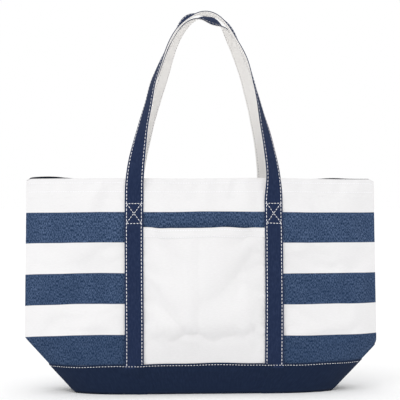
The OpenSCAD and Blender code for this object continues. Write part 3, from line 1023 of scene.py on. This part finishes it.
def strap_edge_lines(face, lift, first=0, last=None):
    """Lines along both edges of the strap, on its outer face or its lining."""
    side = 1 if lift > 0 else -1
    lines = []
    for share in (2 * EDGE_INSET / STRAP_W - 1, 1 - 2 * EDGE_INSET / STRAP_W):
        place, normal, _ = strap_surface(face, share, lift, first, last)
        lines.append((place[:, 0], normal[:, 0] * side))
    return lines


def index_above(face, height):
    """First and last step of the strap line above a height."""
    over = np.nonzero(STRAPS[face][1][:, 2] > height)[0]
    return over[0], over[-1] + 1


def make_strap(face, tag):
    first, last = index_above(face, AXIS_Z - BOX_H - 6 * MM)
    strap_ply(f"{tag}_strap_cloth", face, 0.02 * MM, PLY_T, MAT["strap"], "strap_webbing",
              (f"{tag}_left_strap_leg", f"{tag}_right_strap_leg", f"{tag}_handle_outer"))
    strap_ply(f"{tag}_strap_lining", face, -PLY_T, -0.02 * MM, MAT["lining"], "handle_lining",
              (f"{tag}_handle_lining",), first, last, reach=0.98)
    top = PLY_T + 0.02 * MM
    sewn = stitches(f"{tag}_strap_stitches", strap_edge_lines(face, top, 3, -3), MAT["thread"],
                    width=0.9 * MM, height=0.4 * MM, stitch=3.7 * MM, gap=1.5 * MM)
    keep(sewn, "thread", f"{tag}_strap_stitching", f"{tag}_handle_stitching", body=None)
    bend_with_handle(sewn)
    under = stitches(f"{tag}_strap_bobbin_stitches",
                     strap_edge_lines(face, -PLY_T - 0.02 * MM, first + 12, last - 12),
                     MAT["bobbin"], width=0.5 * MM, height=0.22 * MM, stitch=2.0 * MM, gap=2.2 * MM)
    bend_with_handle(keep(under, "thread", body=None))


make_strap(FRONT, "front")
make_strap(BACK, "back")


def wall_line(face, x, z, out):
    """Points and normals along a line on a layer that stands out from the wall."""
    p, n = wall_frame(face, x, z)
    return p + n * out[:, None], n


def make_boxes(face, tag):
    half = STRAP_W / 2 - EDGE_INSET
    high, low = AXIS_Z - 1.6 * MM, AXIS_Z - BOX_H
    lines = []
    for side in (-1, 1):
        c = side * STRAP_X
        for (x0, z0), (x1, z1) in (
            ((-half - 2 * MM, high), (half + 2 * MM, high)), ((-half, low), (half + 1 * MM, low)),
            ((-half, low), (half, high)), ((-half, high), (half, low)),
        ):
            steps = np.linspace(0, 1, 24)
            z = lerp(z0, z1, steps)
            out = under_strap(face, z) + 2 * PLY_T + 0.12 * MM
            lines.append(wall_line(face, c + lerp(x0, x1, steps), z, out))
    obj = stitches(f"{tag}_box_stitches", lines, MAT["thread"],
                   width=0.9 * MM, stitch=3.1 * MM, gap=0.9 * MM)
    return keep(obj, "thread", f"{tag}_box_stitching")


make_boxes(FRONT, "front")
make_boxes(BACK, "back")


# ---------------- hems and topstitching


def make_boot_stitches(face, tag):
    share = np.linspace(-1, 1, 400)
    x = share * (half_width(BOOT_H - 3 * MM, share) - 2.5 * MM)
    z = boot_edge(x) - 2.3 * MM
    line = wall_line(face, x, z, band_out(face, x, z) + BOOT_T)
    obj = stitches(f"{tag}_boot_stitches", [line], MAT["thread"],
                   width=0.75 * MM, height=0.35 * MM, stitch=2.6 * MM, gap=1.7 * MM)
    return keep(obj, "thread", f"{tag}_boot_topstitch")


def make_rim_stitches(face, tag):
    lines = []
    inner, outer = STRAP_X - STRAP_W / 2 - 1 * MM, STRAP_X + STRAP_W / 2 + 1 * MM
    for drop in (6 * MM, 19 * MM):
        end = RIM_W / 2 - 3 * MM
        for x0, x1 in ((-end, -outer), (-inner, inner), (outer, end)):
            x = np.linspace(x0, x1, 200)
            z = np.full(x.shape, RIM_H - drop)
            lines.append(wall_line(face, x, z, np.full(x.shape, 0.36 * MM)))
    obj = stitches(f"{tag}_rim_stitches", lines, MAT["thread"], width=0.8 * MM, height=0.4 * MM)
    return keep(obj, "thread", f"{tag}_rim_stitching")


for face, tag in ((FRONT, "front"), (BACK, "back")):
    make_boot_stitches(face, tag)
    make_rim_stitches(face, tag)


def make_pocket_stitches():
    lines = []
    reach = STRAP_X - STRAP_W / 2 + 1 * MM
    for drop in (3 * MM, 12.5 * MM):
        x = np.linspace(-reach, reach, 240)
        z = pocket_edge(x) - drop
        lines.append(wall_line(FRONT, x, z, pocket_stand_off(x, z) + POCKET_T + 0.68 * MM))
    obj = stitches("pocket_hem_stitches", lines, MAT["thread"], width=0.8 * MM, height=0.4 * MM)
    return keep(obj, "thread", "pocket_hem_stitching")


make_pocket_stitches()


def make_facing(face, tag):
    rows, cols = 16, 220
    reach = 0.985
    share = np.linspace(-reach, reach, cols)[None, :] + np.zeros((rows, 1))
    z = np.linspace(RIM_H - FACING_H, RIM_H - 0.1 * MM, rows)[:, None] + 0 * share
    x = share * half_width(z, share)
    outer = on_wall(face, x, z, np.full(x.shape, -CANVAS_T - 0.05 * MM))
    inner = on_wall(face, x, z, np.full(x.shape, -CANVAS_T - 0.05 * MM - FACING_T))
    # keeps clear of the middle plane where the walls close on each other
    for grid in (outer, inner):
        grid[..., 1] = face * np.maximum(np.abs(grid[..., 1]), 0.25 * MM)
    cloth = np.stack([x, z], -1)
    obj = shell(f"{tag}_facing_cloth", outer, inner, MAT["facing"], cloth)
    return keep(obj, "rim_facing", f"{tag}_rim_facing")


make_facing(FRONT, "front")
make_facing(BACK, "back")


def make_side_binding(side, tag):
    rows, cols = 90, 9
    z = np.linspace(FOLD_H[side] + 5 * MM, RIM_H - FACING_H + 6 * MM, rows)[:, None] + np.zeros((1, cols))
    share = np.linspace(0, 1, cols)[None, :] + 0 * z
    x = half_width(z, side) - 2.5 * MM - share * 12 * MM + 0.3 * MM * np.sin(z / 0.006) * share
    sway = 0.9 * MM * np.sin(z / 0.021 + side) * share
    outer = np.stack([side * x, sway + 0.75 * MM, z], -1)
    inner = np.stack([side * x, sway - 0.75 * MM, z], -1)
    cloth = np.stack([share * 12 * MM, z], -1)
    obj = shell(f"{tag}_side_binding", outer, inner, MAT["tape"], cloth)
    return keep(obj, "seam_binding", f"{tag}_side_seam_binding")


def make_corner_binding(side, tag):
    """Tape along a boxed corner's seam, up over the tuck and down again."""
    steps, cols = 61, 7
    t = np.linspace(-1, 1, steps)[:, None] + np.zeros((1, cols))
    across = np.linspace(0, 1, cols)[None, :] + 0 * t
    reach = 0.78
    y = t * reach * BASE_END_D / 2
    fold_x, fold_z = tuck_end(side)
    peak = fold_z * (1 - reach * np.sqrt(t**2 + 0.003)) + 4.5 * MM
    x = side * (fold_x - 1.5 * MM - across * 5 * MM)
    z = peak + across * 5.5 * MM + 0.4 * MM * np.sin(t * 20)
    middle = np.stack([x, y, z], -1)
    normal = grid_normals(middle, np.array([side * 1.0, 0, 0.3]))
    cloth = np.stack([across * 8 * MM, t * 0.07], -1)
    half = normal * 0.6 * MM
    obj = shell(f"{tag}_corner_binding", middle + half, middle - half, MAT["tape"], cloth)
    return keep(obj, "seam_binding", f"{tag}_corner_seam_binding")


for side, tag in ((-1, "left"), (1, "right")):
    make_side_binding(side, tag)
    make_corner_binding(side, tag)


# ---------------- studio


def make_studio():
    n = Nodes("studio_floor")
    n.shader.inputs["Base Color"].default_value = (0.97, 0.97, 0.97, 1)
    n.shader.inputs["Roughness"].default_value = 0.9
    n.shader.inputs["Specular IOR Level"].default_value = 0.1
    size = 40.0
    corners = [(-size, -size, 0), (size, -size, 0), (size, size, 0), (-size, size, 0)]
    floor = new_object("studio_floor", corners, [(0, 1, 2, 3)], n.material)

    world = bpy.data.worlds.new("studio")
    world.use_nodes = True
    world.node_tree.nodes["Background"].inputs[0].default_value = (1.0, 1.0, 1.0, 1)
    world.node_tree.nodes["Background"].inputs[1].default_value = 1.0
    bpy.context.scene.world = world

    sun = bpy.data.lights.new("soft_sun", "SUN")
    sun.energy = 0.55
    sun.angle = math.radians(50)
    lamp = bpy.data.objects.new("soft_sun", sun)
    lamp.rotation_euler = Vector((0.55, 0.75, -0.9)).to_track_quat("-Z", "Y").to_euler()
    bpy.context.scene.collection.objects.link(lamp)


def make_camera():
    distance, height, azimuth = 2.2, 0.2815, math.radians(-4)
    across, pan = 0.5961, -2.15 * MM
    data = bpy.data.cameras.new("camera")
    data.sensor_width = 36.0
    data.lens = data.sensor_width * distance / across
    data.clip_start, data.clip_end = 0.05, 50
    camera = bpy.data.objects.new("camera", data)
    camera.location = (
        math.sin(azimuth) * distance + math.cos(azimuth) * pan,
        -math.cos(azimuth) * distance + math.sin(azimuth) * pan,
        height,
    )
    camera.rotation_euler = (math.pi / 2, 0, azimuth)
    bpy.context.scene.collection.objects.link(camera)
    bpy.context.scene.camera = camera


make_studio()
make_camera()
bpy.context.scene.view_settings.view_transform = "Standard"
